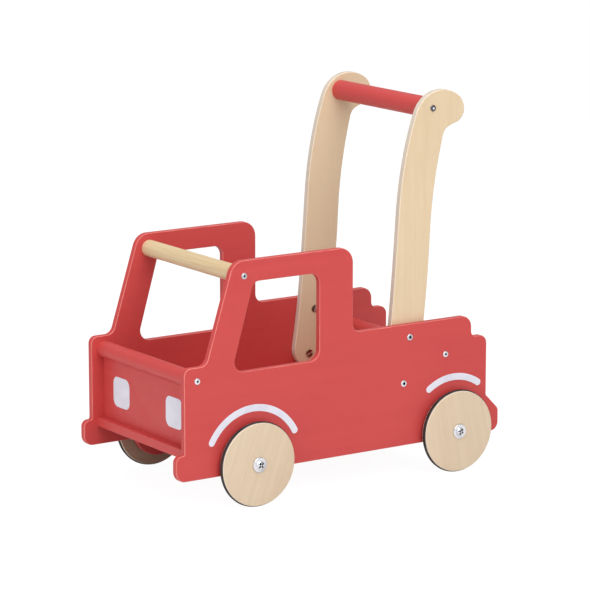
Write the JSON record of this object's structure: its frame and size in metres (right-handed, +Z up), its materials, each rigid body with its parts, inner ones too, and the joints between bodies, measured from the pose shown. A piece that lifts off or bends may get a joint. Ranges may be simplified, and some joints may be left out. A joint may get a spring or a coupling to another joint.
{
  "type": "push along truck",
  "caption": "Wooden push along truck for toddlers: red plywood truck body with windowed cab and open load bed, wooden wheels with rubber bands, tall birch handle.",
  "frame": {"origin": "on the floor under the middle of the truck, at the bottom centre of its bounding box", "axes": "-Y the way the truck faces, +X its left side, +Z up"},
  "size_m": [0.2758, 0.5062, 0.5095],
  "materials": {
    "red_paint": "satin red paint on birch plywood",
    "birch_ply": "clear satin lacquer on birch plywood",
    "natural_dowel": "clear satin lacquer",
    "pin_wood": "raw",
    "white_print": "satin white vinyl",
    "zinc": "zinc plated",
    "bronze_nut": "dark bronze plated",
    "axle_steel": "bright steel",
    "black_rubber": "matte",
    "bush_nylon": "matte"
  },
  "bodies": {
    "truck": {"side_panel_left": "red_paint", "handle_arm_left": "birch_ply", "wheel_stripes_left": "white_print", "side_panel_right": "red_paint", "handle_arm_right": "birch_ply", "wheel_stripes_right": "white_print", "floor_board": "red_paint", "front_board": "red_paint", "tail_board": "red_paint", "hood_rail": "red_paint", "tail_rail": "red_paint", "handle_bar": "red_paint", "cab_rail": "natural_dowel", "board_pins": "pin_wood", "headlights": "white_print", "rail_screws": "zinc", "handle_bar_screws": "zinc", "arm_bolts": "zinc", "inner_washers": "zinc", "hub_washers": "zinc", "hub_screws": "zinc", "arm_nuts": "bronze_nut", "front_axle": "axle_steel", "rear_axle": "axle_steel"},
    "wheel_front_left": {"wheel_front_left": "birch_ply", "tyre_front_left": "black_rubber", "bush_front_left": "bush_nylon"},
    "wheel_front_right": {"wheel_front_right": "birch_ply", "tyre_front_right": "black_rubber", "bush_front_right": "bush_nylon"},
    "wheel_rear_left": {"wheel_rear_left": "birch_ply", "tyre_rear_left": "black_rubber", "bush_rear_left": "bush_nylon"},
    "wheel_rear_right": {"wheel_rear_right": "birch_ply", "tyre_rear_right": "black_rubber", "bush_rear_right": "bush_nylon"}
  },
  "joints": [
    {"name": "wheel_front_left_spin", "type": "hinge", "parent": "truck", "child": "wheel_front_left", "pos_m": [0.1281, -0.1378, 0.0555], "axis": [1, 0, 0], "continuous": true},
    {"name": "wheel_front_right_spin", "type": "hinge", "parent": "truck", "child": "wheel_front_right", "pos_m": [-0.1281, -0.1378, 0.0555], "axis": [1, 0, 0], "continuous": true},
    {"name": "wheel_rear_left_spin", "type": "hinge", "parent": "truck", "child": "wheel_rear_left", "pos_m": [0.1281, 0.178, 0.0555], "axis": [1, 0, 0], "continuous": true},
    {"name": "wheel_rear_right_spin", "type": "hinge", "parent": "truck", "child": "wheel_rear_right", "pos_m": [-0.1281, 0.178, 0.0555], "axis": [1, 0, 0], "continuous": true}
  ]
}
